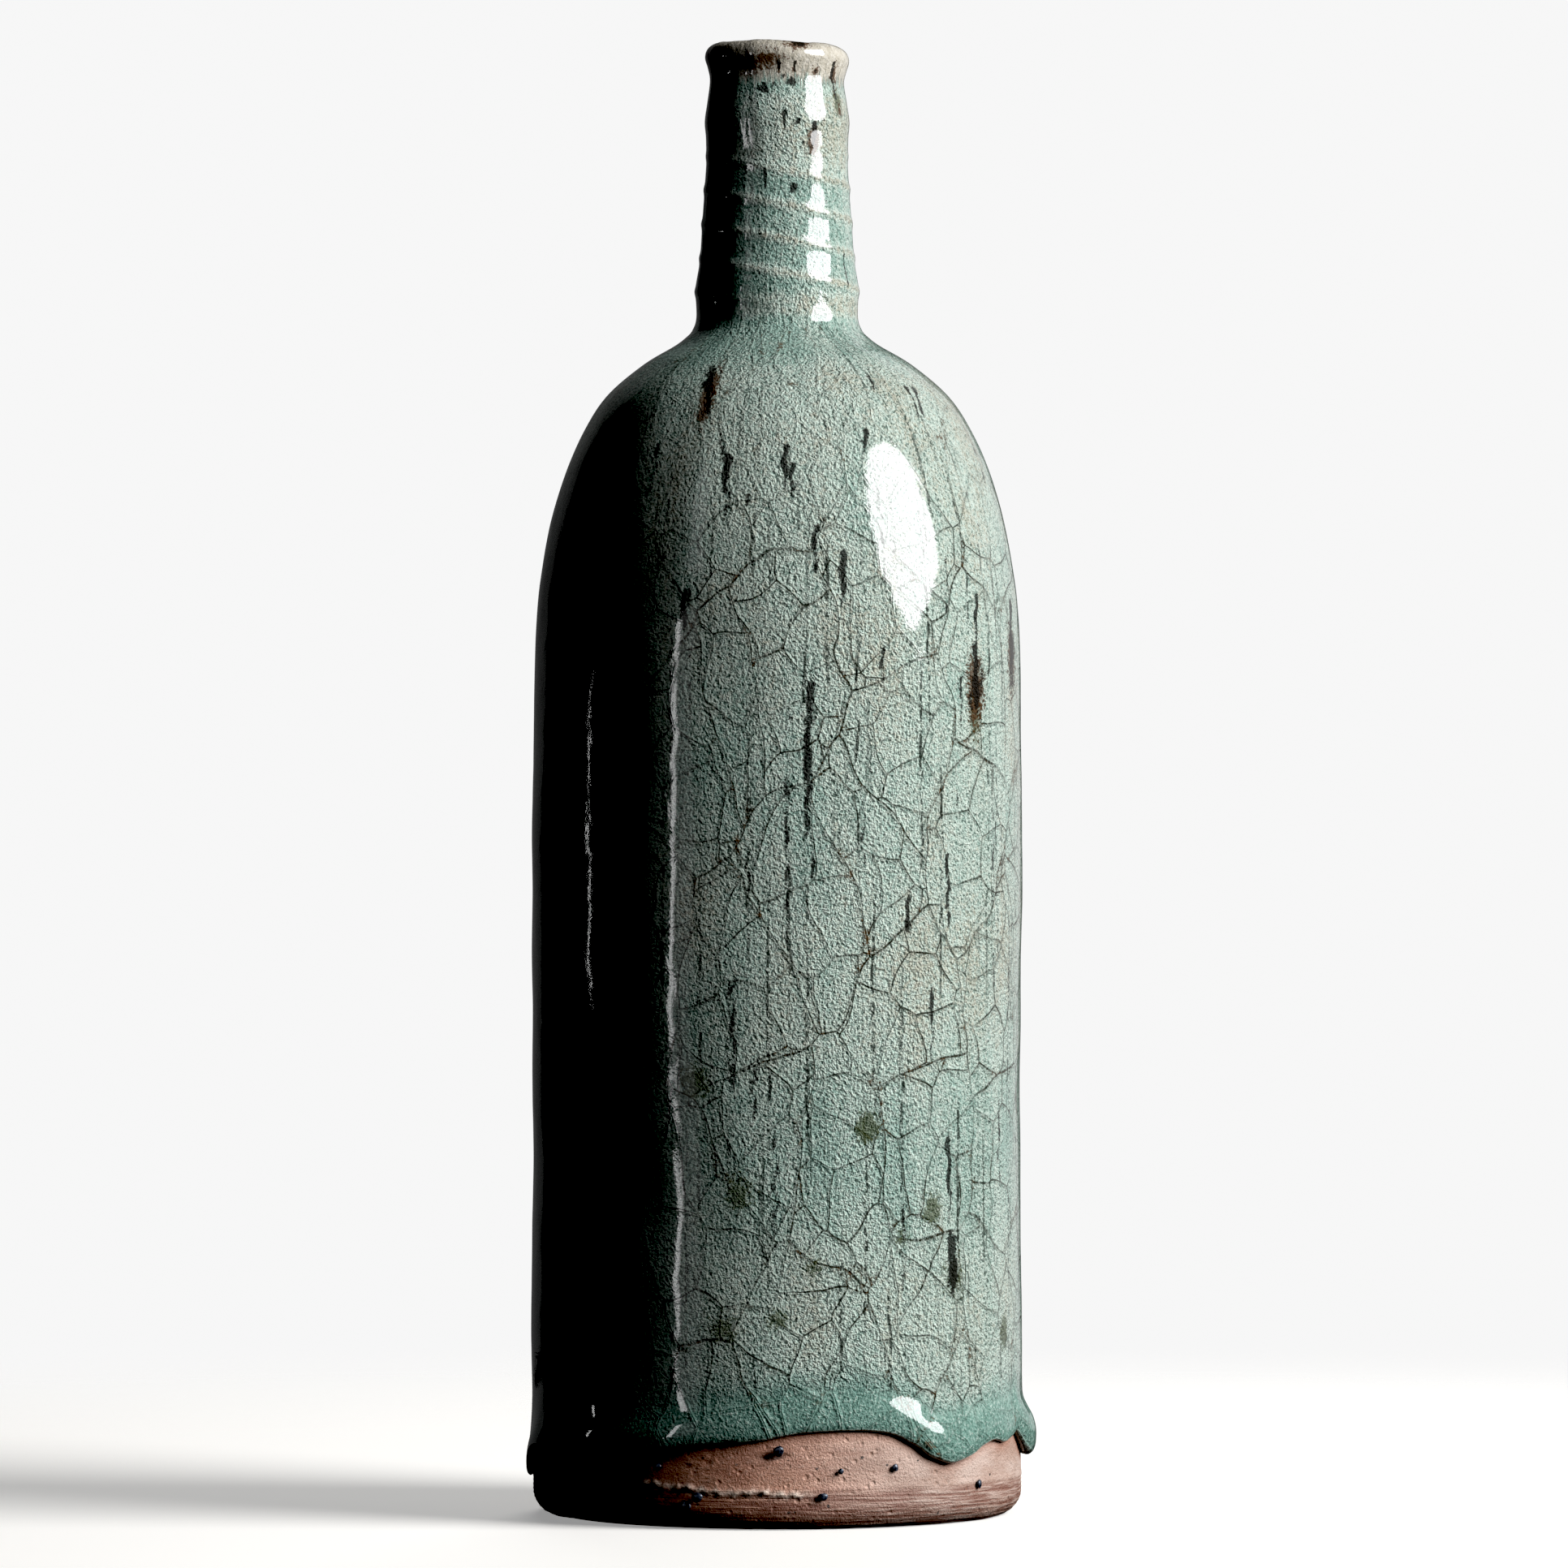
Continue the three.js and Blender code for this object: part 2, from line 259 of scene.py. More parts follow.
# Iron streaks: angle and height of the head, angle and height of the tail, half width and strength.
STREAKS = [
    (-26, 233, -19, 220, 1.1, 1.0), (-16, 220, -14.5, 212, 0.7, 0.7),
    (2.2, 216.5, 2, 206, 0.9, 1.0), (4.3, 212.5, 3, 204, 0.9, 0.95),
    (-13.3, 214, -12.3, 200, 1.2, 0.95), (-7.5, 207, -7.5, 203, 0.8, 0.8),
    (9.5, 200, 9, 189, 0.9, 1.0), (15.8, 195, 15.3, 182, 1.0, 0.95),
    (-3.8, 188, -3.8, 181, 0.8, 0.7), (7.5, 169, 6.8, 136, 1.1, 0.95),
    (25.2, 176, 25, 166, 0.8, 0.85), (25.5, 220, 24, 213, 1.0, 0.95), (35, 231, 33, 226, 0.7, 0.8),
    (50, 229.5, 46, 220, 0.7, 0.7), (53.5, 229.5, 48.5, 221, 0.8, 0.95),
    (54.5, 187, 53.6, 176, 0.9, 1.0), (53.6, 177, 53, 161, 1.1, 1.0),
    (74.5, 186, 71, 167, 1.1, 1.0), (31.6, 126, 31.6, 118, 0.9, 0.9),
    (-10, 110, -10, 86, 1.0, 0.85), (-0.5, 79, -0.5, 54, 1.0, 0.7), (43.6, 79, 44, 56, 0.9, 0.9),
    (44.4, 58, 45.4, 45, 1.4, 1.1), (48, 170, 48, 159, 0.9, 0.8), (43.2, 134, 43.6, 110, 0.8, 0.85),
    (46.3, 160, 46.3, 133, 0.7, 0.6), (60.7, 143, 60.7, 94, 0.7, 0.65), (8, 134, 8, 126, 0.8, 0.8),
    (2.4, 150, 2, 118, 0.9, 0.7), (38, 108, 38.5, 88, 0.9, 0.75), (64, 85, 64, 63, 0.8, 0.75),
    (30.4, 66, 30.4, 45, 0.8, 0.7), (-5.2, 93, -5.2, 78, 0.9, 0.75),
    (44.4, 194, 43, 181, 0.7, 0.65), (59.6, 201, 61.5, 188, 0.7, 0.7),
    (75, 219, 70.5, 205, 0.7, 0.65), (-22, 187, -22, 178, 1.1, 0.95),
    (-20, 176, -21, 150, 0.8, 0.55), (20, 150, 20, 128, 0.6, 0.5), (1.3, 296, 1.3, 293.5, 0.5, 1.0),
    (14.7, 295.5, 14.7, 293, 0.45, 0.9), (53.6, 296, 53, 291, 0.7, 1.1),
    (53, 292.5, 60, 287, 0.6, 0.85), (33.8, 294.2, 33.8, 293, 0.5, 1.0),
    (5.4, 285, 5.3, 281, 0.5, 0.9), (31, 283.5, 30.4, 277.5, 0.8, 1.1),
    (-9.7, 273.6, -9.6, 269.6, 0.5, 1.0), (58.4, 257, 59.3, 249.6, 0.55, 1.0),
    (-11, 291.5, -11, 289.5, 0.7, 0.9),
]

# Round marks: angle, height, half width, half height and strength.
IRON_DABS = [
    (2.2, 216, 1.1, 1.1, 1.0), (44.6, 51, 2.2, 4.0, 1.2), (53.4, 168.5, 3.0, 8.5, 1.0),
    (11.9, 291.4, 1.3, 1.3, 1.0), (17, 283.3, 0.8, 0.8, 1.1), (5.5, 292.6, 0.6, 0.6, 1.0),
    (13.5, 269.9, 1.2, 1.6, 1.1), (5.4, 285, 0.8, 0.7, 1.1), (31, 283, 0.9, 0.8, 1.1),
    (58.4, 257, 0.5, 0.5, 1.0), (-11, 290, 1.6, 1.1, 0.9), (18, 299.2, 2.2, 1.0, 1.1),
    (73.4, 175, 3.0, 8, 1.0), (31.6, 120, 1.2, 2.2, 1.0), (-24.5, 230.5, 1.4, 3.5, 1.1),
    (3, 161, 0.8, 0.9, 0.9), (-3, 291, 1.0, 0.8, 0.8), (43.6, 116, 0.9, 1.2, 0.9),
    (40, 284, 0.5, 0.5, 0.9), (22, 279, 0.4, 0.4, 0.9),
]
OLIVE_DABS = [
    (21, 80, 3.4, 3.4, 1.2), (38.5, 63.5, 3.2, 4.2, 1.0), (-9, 67, 3.6, 5, 0.9),
    (-19, 89, 4.5, 5, 0.9), (66, 38, 2.4, 4.4, 1.1), (0, 42, 3.5, 3, 0.8), (-12.6, 40, 4.5, 4, 0.8),
    (53, 163, 3.0, 8, 0.9), (59, 288, 1.8, 3.2, 1.0), (8, 52, 3, 3, 0.7), (45, 50, 4, 6, 0.8),
    (30, 58, 2.5, 3.5, 0.7),
]
AMBER_DABS = [
    (-22.5, 226.5, 2.0, 7.5, 1.3), (53.2, 167.5, 3.6, 9.5, 1.2), (73, 174.5, 3.4, 9.5, 1.2),
    (30.8, 279.6, 1.5, 3.4, 1.4), (18, 299.3, 3.6, 1.8, 1.2), (56, 293, 1.6, 4.5, 0.9),
    (61.5, 286, 1.2, 2.0, 1.0), (34, 293.6, 1.0, 1.4, 1.0), (-8, 296, 4.5, 2.4, 1.1),
    (-22, 295, 4, 3, 1.1), (14.7, 294, 0.9, 2.2, 0.8), (1.3, 294.6, 0.9, 2.0, 0.8),
]
UNSEEN_SIDE = (98, 326)  # the angles whose marks are drawn at random, in the manner of the others
UNSEEN_STREAKS = 70
UNSEEN_NECK_STREAKS = 14
UNSEEN_OLIVE_DABS = 16
UNSEEN_BLOTS = 7
THIN_AND_LIT_SIDE = 65  # the glaze is paler on the side that faces this angle, the key light's side, and deeper teal away from it: partly thinner glaze, partly painted light and shade


def add_streak(field, angle, height, radius, streak):
    """Lays one streak into a field of the glaze: a crisp head that tapers and fades down to its tail."""
    head, top, tail, bottom, half, strength = streak
    share = (top - height) / (top - bottom)
    inside = (share > -0.06) & (share < 1.05)
    centre = head + (tail - head) * share + 0.35 * np.sin(height * 0.9 + head)
    across = np.abs(arc_from(angle, centre, radius))
    width = 1.5 * half * (1.1 - 0.4 * np.clip(share, 0, 1))
    fade = np.clip((share + 0.06) / 0.06, 0, 1) * np.clip((1.05 - share) / 0.5, 0, 1) ** 0.4
    np.maximum(field, np.where(inside, strength * fade * np.clip(1 - across / width, 0, 1), 0), out=field)


def add_dab(field, angle, height, radius, dab):
    """Lays one round mark into a field of the glaze."""
    at, level, half_width, half_height, strength = dab
    across = arc_from(angle, at, radius) / half_width
    up = (height - level) / half_height
    np.maximum(field, strength * np.clip(1 - np.hypot(across, up) / 1.4, 0, 1), out=field)


def unseen_marks():
    """Streaks and spots for the sides away from the front, in the manner of the front's."""
    low, high = UNSEEN_SIDE
    draw = random.uniform
    streaks = []
    for _ in range(UNSEEN_STREAKS):
        at = draw(low, high)
        top = draw(60, 232)
        length = random.choice([6, 9, 12, 20, 28]) * draw(0.8, 1.3)
        streaks.append((at, top, at, max(26, top - length), draw(0.7, 1.2), draw(0.6, 1.0)))
    for _ in range(UNSEEN_NECK_STREAKS):
        at = draw(low, high)
        top = draw(250, 294)
        streaks.append((at, top, at, top - draw(2, 6), draw(0.4, 0.7), draw(0.8, 1.1)))
    olive = []
    for _ in range(UNSEEN_OLIVE_DABS):
        olive.append((draw(low, high), draw(36, 120), draw(2.5, 4.5), draw(3, 5.5), draw(0.7, 1.2)))
    blots = [(draw(low, high), draw(120, 225)) for _ in range(UNSEEN_BLOTS)]
    return streaks, olive, blots


def glaze_marks(angle, height, radius):
    """The iron, olive and amber fields of the glaze, each from 0 to about 1."""
    streaks, olive_dabs, blots = unseen_marks()
    iron, olive, amber = (np.zeros_like(height) for _ in range(3))
    for streak in STREAKS + streaks:
        add_streak(iron, angle, height, radius, streak)
    for field, dabs in ((iron, IRON_DABS), (olive, OLIVE_DABS + olive_dabs), (amber, AMBER_DABS)):
        for dab in dabs:
            add_dab(field, angle, height, radius, dab)
    for at, level in blots:
        add_dab(iron, angle, height, radius, (at, level, 1.4, 4.5, 1.1))
        add_streak(iron, angle, height, radius, (at, level + 13, at, level, 0.8, 1.0))
        add_dab(amber, angle, height, radius, (at, level, 2.2, 8, 1.1))
    return iron, olive, amber


def glaze_depth(angle, height, radius, above_edge):
    """How thick the glaze lies, and so its colour: 0 where it is thin and beige, 1 where it is pooled; it
    also deepens on the side away from the key light as painted shade.
    """
    cloud = DEPTH_CLOUD(angle, height) + DEPTH_DRIPS(angle, height)
    body = 0.36 + 0.09 * (1 - step(height, 50, 130)) + cloud
    # Painted light and shade: paler on the side that faces the key light, deeper teal on the side away from
    # it.
    facing_light = np.cos(np.radians(angle - THIN_AND_LIT_SIDE))
    body -= 0.07 * facing_light + 0.07 * step(height, 195, 222)
    roll = 0.62 * (1 - step(above_edge, 3, 15)) * step(above_edge, 0, 0.8)
    joint = 0.31 * step(height, 229, 239) * (1 - step(height, 243.2, 244.6))
    low_neck = step(height, 247, 250) * (1 - step(height, 270, 277))
    neck = 0.12 + 0.5 * cloud + 0.36 * low_neck * (1 - 1.2 * ring_wave(angle, height))
    neck += 0.3 * step(height, 287.5, 291) * (1 - step(height, 292.5, 293.5))
    # Painted shade: the neck deepens to teal on the side away from the key light.
    neck += 0.25 * (1 - facing_light)
    on_neck = step(height, 243.2, 245.2)
    return np.clip((body + roll + joint) * (1 - on_neck) + neck * on_neck, 0, 1)


# --------------------------------------------------
# Meshes.


def columns(count):
    """The angles of a grid's columns."""
    return np.arange(count) * 360 / count


def swayed_columns(level):
    """The glaze's columns, which sway at the back, where its unrolled sheet is cut."""
    angle = columns(COLUMNS)[None, :]
    at_back = np.exp(-((turn_between(angle, 180) / 25) ** 2))
    sway = 3.2 * np.sin(level[:, None] / 17) + 1.7 * np.sin(level[:, None] / 6.3 + 1)
    return angle + at_back * sway


def sheet_corners(angle, height):
    """For each corner of a grid's faces, its place on the unrolled glaze and its distance from the cut."""
    rows, count = angle.shape
    closing = np.hstack([angle, angle[:, :1] + 360])
    tall = np.interp(height, FACE[:RIM, 0], ARC[:RIM])
    tall = np.hstack([tall, tall[:, :1]])
    row = np.arange(rows)[:, None]
    col = np.arange(count)[None, :]
    above = (row + 1) % rows
    places = []
    for r, c in ((row, col), (row, col + 1), (above, col + 1), (above, col)):
        turned = np.radians(closing[r, c] - 360 * (col >= count // 2))
        from_cut = np.radians(np.abs(closing[r, c] - closing[r, count // 2]))
        places.append(np.stack([WALL_RADIUS * turned, tall[r, c], WALL_RADIUS * from_cut], axis=-1))
    return np.stack(places, axis=2).reshape(-1, 3)


def around(angle, radius, height):
    """Places round the bottle's axis, in millimetres."""
    turned = np.radians(angle)
    return np.stack([radius * np.sin(turned), -radius * np.cos(turned), height], axis=-1)


def to_points(angle, radius, height):
    """The same places in metres, for a mesh."""
    return around(angle, radius, height) * MM


def grid_faces(rows, cols, closed):
    """Quads of a grid that is joined round its columns, and round its rows too where it is closed."""
    row = np.arange(rows if closed else rows - 1)[:, None]
    col = np.arange(cols)[None, :]
    above = (row + 1) % rows
    beside = (col + 1) % cols
    corners = [row * cols + col, row * cols + beside, above * cols + beside, above * cols + col]
    return np.stack(np.broadcast_arrays(*corners), axis=-1).reshape(-1, 4)


def make_mesh(name, points, faces, fields=None):
    """A smooth-shaded object, with one number or vector per vertex for each field."""
    mesh = bpy.data.meshes.new(name)
    mesh.from_pydata(points.reshape(-1, 3).tolist(), [], faces if isinstance(faces, list) else faces.tolist())
    mesh.polygons.foreach_set("use_smooth", [True] * len(mesh.polygons))
    for field, values in (fields or {}).items():
        vector = values.ndim == points.ndim
        attribute = mesh.attributes.new(field, "FLOAT_VECTOR" if vector else "FLOAT", "POINT")
        attribute.data.foreach_set("vector" if vector else "value", values.astype(np.float32).ravel())
    mesh.validate()
    made = bpy.data.objects.new(name, mesh)
    bpy.context.scene.collection.objects.link(made)
    return made


def set_normals(piece, normals):
    """Gives the piece's first vertices the normals of a longer surface that it is cut from."""
    rest = len(piece.data.vertices) - normals.reshape(-1, 3).shape[0]
    every = np.vstack([normals.reshape(-1, 3), np.zeros((rest, 3))])
    piece.data.normals_split_custom_set_from_vertices(every.tolist())


def surface_normals(points):
    """Normals of a grid of points that is joined round its columns."""
    round_step = np.roll(points, -1, axis=1) - np.roll(points, 1, axis=1)
    up_step = np.gradient(points, axis=0)
    normals = np.cross(round_step, up_step)
    return normals / np.maximum(np.linalg.norm(normals, axis=-1, keepdims=True), 1e-12)


def glaze_surface():
    """The glaze's outer face, as grids of angles, heights, radii and levels above its edge, and its rows."""
    section = smooth(ROLL_SECTION, ROLL_ROWS)
    plain = np.arange(ROLL_SECTION[-1][0] + EDGE_STEP, EDGE_BLEND[1], EDGE_STEP)
    lift = np.concatenate([section[:, 0], plain])[:, None]
    low_angle = swayed_columns(lift[:, 0])
    edge, swell = run_at(low_angle)
    coat = np.concatenate([section[:, 1], np.ones_like(plain)])[:, None]
    bulge = np.concatenate([section[:, 2], np.zeros_like(plain)])[:, None]
    stretch = 1 + 0.32 * (swell - ROLL_SWELL) * (1 - step(lift, 3, 14))
    low_height = lift * stretch + edge * (1 - step(lift, *EDGE_BLEND))
    low_relief = glaze_relief(low_angle, low_height) * step(lift, 2, 12)
    low_radius = clay_radius(low_height) + BODY_GLAZE * coat + swell * bulge + low_relief

    top = int(np.argmax(FACE[:, 0] > SEAM))
    waist = int(np.argmax(FACE[:, 0] > LIP_GLAZE_FOOT))
    start = int(np.argmax(FACE[:, 0] >= EDGE_BLEND[1]))
    curve = int(np.argmax(FACE[:, 0] > SHOULDER_START))
    wall = resample(FACE[start:curve], WALL_STEP)
    body = np.vstack([wall, resample(FACE[curve - 1 : top], SHOULDER_STEP)[1:]])
    neck = resample(FACE[top - 1 : waist], NECK_STEP)[1:]
    lip = resample(FACE[waist - 1 :], LIP_STEP)[1:]
    line = np.vstack([body, neck, lip])
    normal = outward(line)
    high_angle = swayed_columns(line[:, 0])
    relief = glaze_relief(high_angle, line[:, :1])
    waver = 0.25 * np.cos(np.radians(high_angle + 100)) + LIP_WAVER(high_angle)
    raised = step(line[:, :1], LIP_GLAZE_FOOT - 4, LIP_GLAZE_FOOT + 3) * waver
    high_height = line[:, :1] + normal[:, :1] * relief + raised
    high_radius = line[:, 1:] + normal[:, 1:] * relief

    angle = np.vstack([low_angle, high_angle])
    height = np.vstack([low_height, high_height])
    radius = np.vstack([low_radius, high_radius])
    above_edge = np.vstack([np.broadcast_to(lift, low_height.shape), high_height - GLAZE_EDGE])
    counts = (len(lift) + len(body), len(neck), len(lip))
    return angle, height, radius, above_edge, counts


def glaze_fields(angle, height, radius, above_edge):
    """Everything that the glaze's material reads from the mesh."""
    iron, olive, amber = glaze_marks(angle, height, radius)
    return {
        "flow": around(angle, WALL_RADIUS, height),
        "depth": glaze_depth(angle, height, radius, above_edge),
        "iron": iron,
        "olive": olive,
        "amber": amber,
        "lip": step(height, LIP_GLAZE_FOOT - 6, LIP_GLAZE_FOOT + 3.4),
        "rim": np.clip(1 - above_edge / 1.4, 0, 1),
        "body": 1 - step(height, 240, 247),
    }


def glaze_coats():
    """The three outer coats, cut from one surface so that they meet without a seam."""
    angle, height, radius, above_edge, counts = glaze_surface()
    points = to_points(angle, radius, height)
    normals = surface_normals(points)
    fields = glaze_fields(angle, height, radius, above_edge)
    names = ("body_glaze_coat", "neck_glaze_coat", "lip_glaze_coat")
    coats = []
    first = 0
    for name, count, thickness in zip(names, counts, (BODY_GLAZE, NECK_GLAZE, NECK_GLAZE)):
        last = min(first + count + 1, len(points))
        back_rows = np.append(np.arange(last - 1, first, -8), first)
        back = points[back_rows] - normals[back_rows] * thickness * 0.85 * MM
        on_clay = above_edge[back_rows] < EDGE_BLEND[0]
        clay = to_points(angle[back_rows], clay_radius(height[back_rows]) - 0.1, height[back_rows])
        back = np.where(on_clay[..., None], clay, back)
        shell = np.concatenate([points[first:last], back])
        values = {field: np.concatenate([v[first:last], v[back_rows]]) for field, v in fields.items()}
        coat = make_mesh(name, shell, grid_faces(len(shell), COLUMNS, closed=True), values)
        sheet = [np.concatenate([v[first:last], v[back_rows]]) for v in (angle, height)]
        corners = coat.data.attributes.new("sheet", "FLOAT_VECTOR", "CORNER")
        corners.data.foreach_set("vector", sheet_corners(*sheet).astype(np.float32).ravel())
        set_normals(coat, normals[first:last])
        coats.append(coat)
        first += count
    return coats


def lathe(name, line, count, relief=None, fields=None, poles=()):
    """A turned piece from a (height, radius) line, closed on itself or, given two poles, on the axis."""
    angle = np.broadcast_to(columns(count), (len(line), count))
    height = np.broadcast_to(line[:, :1], angle.shape)
    radius = np.broadcast_to(line[:, 1:], angle.shape)
    if relief is not None:
        normal = outward(line)
        out = relief(angle, height, radius)
        height = height + normal[:, :1] * out
        radius = radius + normal[:, 1:] * out
    points = to_points(angle, radius, height).reshape(-1, 3)
    faces = grid_faces(len(line), count, closed=not poles).tolist()
    values = fields(angle, height, radius) if fields else {}
    values = {field: v.reshape(-1, *v.shape[2:]) for field, v in values.items()}
    for end, pole in zip((0, len(line) - 1), poles):
        centre = len(points)
        points = np.vstack([points, [0, 0, pole * MM]])
        values = {field: np.concatenate([v, v[:1]]) for field, v in values.items()}
        for col in range(count):
            pair = [end * count + (col + 1) % count, end * count + col]
            faces.append([centre, *(pair if end == 0 else pair[::-1])])
    return make_mesh(name, points, faces, values)


# --------------------------------------------------
# Bare clay.

# A split ridge in the clay just above the bevel, as (angle, height).
CLAY_CRACK = [
    (-36, 8.6), (-30, 9.0), (-25, 8.3), (-21, 8.5), (-16, 7.5), (-10, 7.3), (-4, 7.6), (2, 7.0), (10, 7.2),
]
GOUGE = (-1, 14.6, 3.0, 0.55)  # a slit pressed into the clay: angle, height, half width, half height
# Scars: angle, height and radius.
SCARS = [
    (-17, 13.8, 2.6), (-14, 15.6, 1.6), (-20, 12.4, 1.2), (-31, 7.4, 1.4), (60, 14, 1.2), (-26, 5.6, 1.0),
]
BEVEL = 8.2  # the foot's wall turns into its rounded bevel at this height


def crack_distance(angle, height):
    """Distance in height from the split ridge, and how strongly it shows at this angle."""
    path = np.array(CLAY_CRACK)
    signed = (angle + 180) % 360 - 180
    level = np.interp(signed, path[:, 0], path[:, 1])
    level += 0.18 * np.sin(signed * 2.1) + 0.1 * np.sin(signed * 5.3)
    shown = step(signed, path[0, 0], path[0, 0] + 4) * (1 - step(signed, path[-1, 0] - 6, path[-1, 0]))
    return height - level, shown * (0.75 + 0.25 * np.sin(signed * 1.7))


def clay_relief(angle, height, radius):
    """How far the bare foot stands out from its turned outline."""
    on_wall = (radius > FOOT_RADIUS - FOOT_ROUNDING) & (height < FLARE_TOP + 4)
    wall = CLAY_WAVER(angle, height) + CLAY_UNEVEN(angle, height) + CLAY_FINE(angle, height)
    on_bevel = 1 - step(height, BEVEL - 0.6, BEVEL + 0.4)
    grooves = 0.05 * np.sin(height * 7.5 + np.sin(np.radians(angle * 3))) * on_bevel
    grooves += 0.012 * np.sin(height * 9)
    crest = 0.12 * np.exp(-(((height - BEVEL - 0.3 * np.sin(np.radians(angle * 2))) / 0.45) ** 2))
    away, shown = crack_distance(angle, height)
    lumps = 1 + 9 * CLAY_SCARS(angle, height)
    ridge = 0.34 * lumps * np.exp(-((away / 0.45) ** 2))
    split = 0.25 * np.exp(-(((away + 0.8) / 0.35) ** 2))
    crack = shown * (ridge - split)
    at, level, half_width, half_height = GOUGE
    across = arc_from(angle, at, radius) / half_width
    slit = np.exp(-((across**4) + ((height - level - 0.3 * across) / half_height) ** 2))
    scars = 0
    for at, level, size in SCARS:
        across = arc_from(angle, at, radius)
        scars = scars + np.exp(-((np.hypot(across, height - level) / size) ** 2))
    rough = CLAY_SCARS(angle, height)
    return np.where(on_wall, wall + grooves + crest + crack - 0.6 * slit + scars * rough - 0.06 * scars, 0)


def clay_fields(angle, height, radius):
    """Everything that the clay's material reads from the mesh."""
    edge, _ = run_at(columns(COLUMNS))
    below = np.broadcast_to(edge[None, :], height.shape) - height
    away, shown = crack_distance(angle, height)
    at, level, half_width, half_height = GOUGE
    across = arc_from(angle, at, radius) / half_width
    slit = np.hypot(across, (height - level) / half_height / 1.4)
    # Painted shade: darker in the split under the ridge and inside the pressed slit.
    hollow_shade = np.maximum(0.6 * shown * np.exp(-(((away + 0.8) / 0.3) ** 2)), np.clip(1.2 - slit, 0, 1))
    wall = radius > 40  # neither the base nor the top of the shoulder
    return {
        "flow": around(angle, WALL_RADIUS, height),
        "scorch": np.clip(1 - below / 5, 0, 1) * wall,
        "hollow_shade": hollow_shade,
        # Painted highlight: the clay is painted pale along the ridge's crest, partly pale crumbs of clay.
        "ridge": shown * np.exp(-(((away - 0.1) / 0.55) ** 2)),
        # Painted sheen and light: pale on the side towards the key light, a brighter red on the shaded side,
        # partly the clay's own flashing.
        "flash_and_painted_light": 0.5 + 0.5 * np.cos(np.radians(turn_between(angle, -55))) * wall,
        "bevel": 1 - step(height, BEVEL - 1.6, BEVEL + 0.6),
    }


def clay_body():
    """The thrown body, fine over its bare foot and plain where the glaze hides it."""
    inner = FACE[(FACE[:, 0] < SEAM) & (np.arange(len(FACE)) < RIM)]
    shifted = inner - outward(inner) * (BODY_GLAZE + CLAY_WALL)
    rim_bore = THROAT_RADIUS + THROAT_FLARE + 0.5
    inner_levels = np.array([236, 230, 222, 212, 200, 180, 150, 90, 30])
    inner_radii = np.maximum(rim_bore, np.interp(inner_levels, shifted[:, 0], shifted[:, 1]))
    inside = list(zip(inner_levels, inner_radii))
    wall = inside[-1][1]
    turns = np.linspace(0, math.pi / 2, 6)
    start = FLOOR_TOP + INNER_CORNER
    corner = [(start - INNER_CORNER * math.sin(a), wall - INNER_CORNER * (1 - math.cos(a))) for a in turns]
    arc = np.linspace(0, math.pi / 2, 14)
    rounding = np.column_stack(
        [FOOT_ROUNDING * (1 - np.cos(arc)), FOOT_RADIUS - FOOT_ROUNDING * (1 - np.sin(arc))]
    )
    base = np.array([(RECESS_DEPTH, 0.5), (RECESS_DEPTH, RECESS_RADIUS), (0, RECESS_RADIUS + RECESS_SLOPE)])
    ring = resample(np.vstack([[0, RECESS_RADIUS + RECESS_SLOPE], rounding[:1]]), 1.0)[1:-1]
    foot = np.arange(FOOT_ROUNDING + 0.4, FLARE_TOP + 2, 0.4)
    hidden = np.array([34, 60, 100, 150, 170])
    levels = np.concatenate([foot, hidden])
    shoulder = FACE[(FACE[:, 0] > 172) & (FACE[:, 0] < SEAM - 0.4) & (np.arange(len(FACE)) < RIM)]
    shoulder = resample(shoulder - outward(shoulder) * (BODY_GLAZE + 0.05), 4)
    line = np.vstack([
        resample(base, 1.2), ring, resample(rounding, 0.4),
        np.column_stack([levels, clay_radius(levels)]), shoulder,
        [(SEAM - 0.4, rim_bore)], inside, corner, [(FLOOR_TOP, 0.5)],
    ])
    poles = (RECESS_DEPTH, FLOOR_TOP)
    return lathe("clay_body_thrown", line, COLUMNS, clay_relief, clay_fields, poles=poles)


def iron_bead(node, number):
    """A drop of melted iron where the design's bead lies: an uneven dome, sunk a little into the clay."""
    low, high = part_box(node)
    centre = (low + high) / 2
    size = (high.z - low.z) / 2
    away = Vector((centre.x, centre.y, 0)).normalized()
    across = Vector((-away.y, away.x, 0))
    sphere = bpy.data.meshes.new("bead")
    shape = bmesh.new()
    bmesh.ops.create_icosphere(shape, subdivisions=4, radius=1)
    draws = random.uniform(-1, 1, 6)
    for vertex in shape.verts:
        spot = vertex.co.copy()
        uneven = 1 + 0.07 * math.sin(3 * spot.x + draws[0] * 3) + 0.06 * math.cos(4 * spot.z + draws[1] * 3)
        sideways = spot.x * size * uneven * (1 + 0.15 * draws[2])
        upward = spot.z * size * uneven * (1 + 0.12 * draws[3])
        outwards = (spot.y * 0.55 + 0.1) * size
        vertex.co = centre + across * sideways + Vector((0, 0, upward)) + away * outwards
    shape.to_mesh(sphere)
    shape.free()
    sphere.polygons.foreach_set("use_smooth", [True] * len(sphere.polygons))
    bead = bpy.data.objects.new(f"iron_drop_{number:02d}", sphere)
    bpy.context.scene.collection.objects.link(bead)
    return bead


def throat_line():
    """The liner in the throat, from the lip's inner end down to the joint, and back along the clay."""
    heights = np.concatenate([[292.3], np.arange(290, SEAM, -2.5), [SEAM + 0.1]])
    flare = THROAT_FLARE * (1 - step(heights, SEAM + 0.4, THROAT_FLARE_TOP))
    face = np.column_stack([heights, THROAT_RADIUS - 0.05 + flare])
    back = face[::-3] + (0, 0.4)
    return np.vstack([face, back])


# --------------------------------------------------
# Materials.


